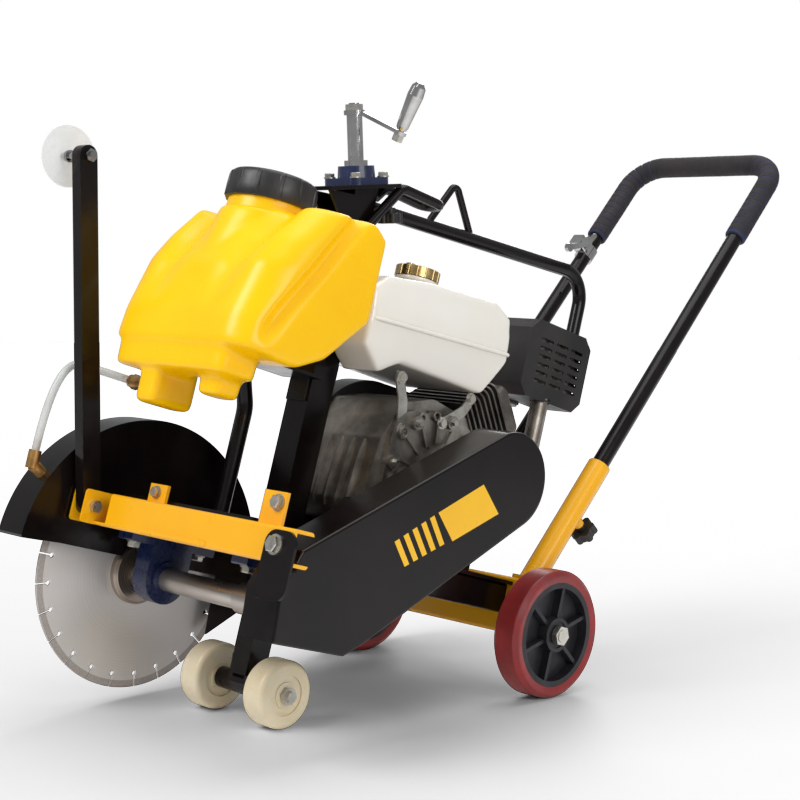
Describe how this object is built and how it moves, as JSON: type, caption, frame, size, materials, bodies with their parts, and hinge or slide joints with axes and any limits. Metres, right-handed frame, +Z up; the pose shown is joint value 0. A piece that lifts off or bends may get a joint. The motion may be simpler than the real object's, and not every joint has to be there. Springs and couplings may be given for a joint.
{
  "type": "walk-behind concrete saw",
  "caption": "Wheeled walk-behind floor saw with engine, belt guard, half-drum blade guard, water tank, jack leg with crank, folding line pointer and telescoping handle",
  "frame": {"origin": "centre of the bounding box at ground level, with the machine standing on its rear wheels, its blade held clear by the extended jack leg", "axes": "+X forward towards the water tank, +Y to the machine's left, where the belt guard is, +Z up"},
  "size_m": [1.4166, 0.543, 0.9447],
  "materials": {
    "frame_yellow": "satin",
    "frame_black": "gloss",
    "zinc_steel": "satin",
    "dark_steel": "satin",
    "chrome": "polished",
    "bearing_blue": "gloss",
    "blade_steel": "satin",
    "cast_aluminium": "as cast",
    "cast_iron": "as cast",
    "tank_white": "gloss",
    "recoil_red": "gloss",
    "water_tank_yellow": "moulded",
    "black_plastic": "moulded",
    "nylon_ivory": "moulded",
    "wheel_red": "smooth",
    "rubber_black": "smooth",
    "foam_dark": "foam",
    "brass": "satin",
    "clear_hose": "clear flexible",
    "disc_clear": "clear"
  },
  "bodies": {
    "chassis": {"chassis_frame": "frame_black", "front_crossbeam": "frame_yellow", "rear_axle_beam": "frame_yellow", "handle_sockets": "frame_yellow", "rear_axle": "zinc_steel", "pillow_blocks": "bearing_blue", "guide_mast": "frame_black", "crank_bearing": "bearing_blue", "tank_frame": "frame_black", "roll_bar": "frame_black", "hand_loop": "frame_black", "belt_guard": "frame_black", "blade_guard": "frame_black", "crankcase": "cast_aluminium", "crankcase_cover": "cast_aluminium", "engine_cylinder": "cast_aluminium", "fan_housing": "black_plastic", "recoil_cover": "recoil_red", "fuel_tank": "tank_white", "muffler": "dark_steel", "muffler_shield": "frame_black", "air_cleaner": "black_plastic", "water_tank": "water_tank_yellow", "hose_fittings": "brass", "water_hose": "clear_hose", "frame_bolts": "zinc_steel", "stop_knob": "black_plastic", "v_belts": "rubber_black"},
    "wheel_left": {"wheel_tyre_left": "wheel_red", "wheel_hub_left": "cast_iron"},
    "wheel_right": {"wheel_tyre_right": "wheel_red", "wheel_hub_right": "cast_iron"},
    "leg": {"jack_leg": "frame_black", "roller_axle": "zinc_steel"},
    "roller_l": {"roller_left": "nylon_ivory"},
    "roller_r": {"roller_right": "nylon_ivory"},
    "screw": {"jack_screw": "dark_steel"},
    "crank": {"crank_column": "chrome", "crank_arm": "chrome", "crank_fasteners": "zinc_steel"},
    "crank_handle": {"crank_grip": "chrome"},
    "spindle": {"spindle_shaft": "zinc_steel", "blade_clamp": "zinc_steel", "saw_blade": "blade_steel", "driven_pulley": "cast_iron"},
    "crankshaft": {"engine_crankshaft": "dark_steel", "drive_pulley": "cast_iron"},
    "starter_grip": {"recoil_grip": "black_plastic"},
    "pointer": {"pointer_post": "frame_black", "pointer_rod": "chrome"},
    "pointer_wheel": {"pointer_disc": "disc_clear"},
    "handle": {"handle_tube": "frame_black", "foam_grip": "foam_dark", "throttle_clamp": "chrome", "throttle_cable": "black_plastic"},
    "throttle": {"throttle_lever": "chrome"},
    "knob_left": {"handle_knob_left": "black_plastic"},
    "knob_right": {"handle_knob_right": "black_plastic"},
    "water_cap": {"tank_cap": "black_plastic"},
    "petrol_cap": {"fuel_cap": "brass"}
  },
  "joints": [
    {"name": "wheel_left_spin", "type": "hinge", "parent": "chassis", "child": "wheel_left", "pos_m": [0.00655, 0.1865, 0.1], "axis": [0, 1, 0], "continuous": true},
    {"name": "wheel_right_spin", "type": "hinge", "parent": "chassis", "child": "wheel_right", "pos_m": [0.00655, -0.2355, 0.1], "axis": [0, 1, 0], "continuous": true},
    {"name": "leg_slide", "type": "slide", "parent": "chassis", "child": "leg", "axis": [-0.2756, 0, 0.9613], "range_m": [0, 0.098]},
    {"name": "roller_left_spin", "type": "hinge", "parent": "leg", "child": "roller_l", "pos_m": [0.44217, 0.0485, 0.05014], "axis": [0, 1, 0], "continuous": true},
    {"name": "roller_right_spin", "type": "hinge", "parent": "leg", "child": "roller_r", "pos_m": [0.44217, -0.0975, 0.05014], "axis": [0, 1, 0], "continuous": true},
    {"name": "screw_turn", "type": "hinge", "parent": "chassis", "child": "screw", "pos_m": [0.28561, -0.0245, 0.59614], "axis": [-0.2756, 0, 0.9613], "range_deg": [0, 4410]},
    {"name": "crank_turn", "type": "hinge", "parent": "chassis", "child": "crank", "pos_m": [0.22815, -0.0285, 0.78564], "axis": [0.0698, 0, 0.9976], "range_deg": [0, 4410]},
    {"name": "crank_grip_spin", "type": "hinge", "parent": "crank", "child": "crank_handle", "pos_m": [0.20794, 0.04306, 0.87007], "axis": [-0.0927, 0.4266, 0.8997], "continuous": true},
    {"name": "spindle_spin", "type": "hinge", "parent": "chassis", "child": "spindle", "pos_m": [0.49093, -0.2305, 0.19208], "axis": [0, 1, 0], "continuous": true},
    {"name": "crankshaft_spin", "type": "hinge", "parent": "chassis", "child": "crankshaft", "pos_m": [0.14944, 0.1955, 0.35631], "axis": [0, 1, 0], "continuous": true},
    {"name": "starter_pull", "type": "slide", "parent": "chassis", "child": "starter_grip", "axis": [-0.9994, 0, -0.0338], "range_m": [0, 0.25]},
    {"name": "pointer_fold", "type": "hinge", "parent": "chassis", "child": "pointer", "pos_m": [0.60744, -0.1745, 0.31183], "axis": [0, 1, 0], "range_deg": [0, 110]},
    {"name": "pointer_wheel_spin", "type": "hinge", "parent": "pointer", "child": "pointer_wheel", "pos_m": [0.61629, -0.2305, 0.81876], "axis": [0, 1, 0], "continuous": true},
    {"name": "handle_extend", "type": "slide", "parent": "chassis", "child": "handle", "axis": [-0.6947, 0, 0.7193], "range_m": [-0.05, 0.1]},
    {"name": "throttle_turn", "type": "hinge", "parent": "handle", "child": "throttle", "pos_m": [-0.50263, -0.1825, 0.71885], "axis": [0, 1, 0], "range_deg": [-30, 32]},
    {"name": "handle_knob_left_turn", "type": "hinge", "parent": "chassis", "child": "knob_left", "pos_m": [-0.13386, 0.1335, 0.2506], "axis": [-0.7193, 0, -0.6947], "range_deg": [0, 720]},
    {"name": "handle_knob_right_turn", "type": "hinge", "parent": "chassis", "child": "knob_right", "pos_m": [-0.13386, -0.1825, 0.2506], "axis": [-0.7193, 0, -0.6947], "range_deg": [0, 720]},
    {"name": "water_cap_turn", "type": "hinge", "parent": "chassis", "child": "water_cap", "pos_m": [0.40894, -0.0205, 0.75738], "axis": [-0.2756, 0, 0.9613], "range_deg": [0, 720]},
    {"name": "fuel_cap_turn", "type": "hinge", "parent": "chassis", "child": "petrol_cap", "pos_m": [0.14888, 0.0255, 0.64848], "axis": [-0.2756, 0, 0.9613], "range_deg": [0, 90]}
  ],
  "couplings": [
    {"joint": "crank_turn", "follows": "leg_slide", "rad_per_m": 785.4},
    {"joint": "screw_turn", "follows": "leg_slide", "rad_per_m": 785.4},
    {"joint": "crankshaft_spin", "follows": "spindle_spin", "ratio": 1}
  ]
}
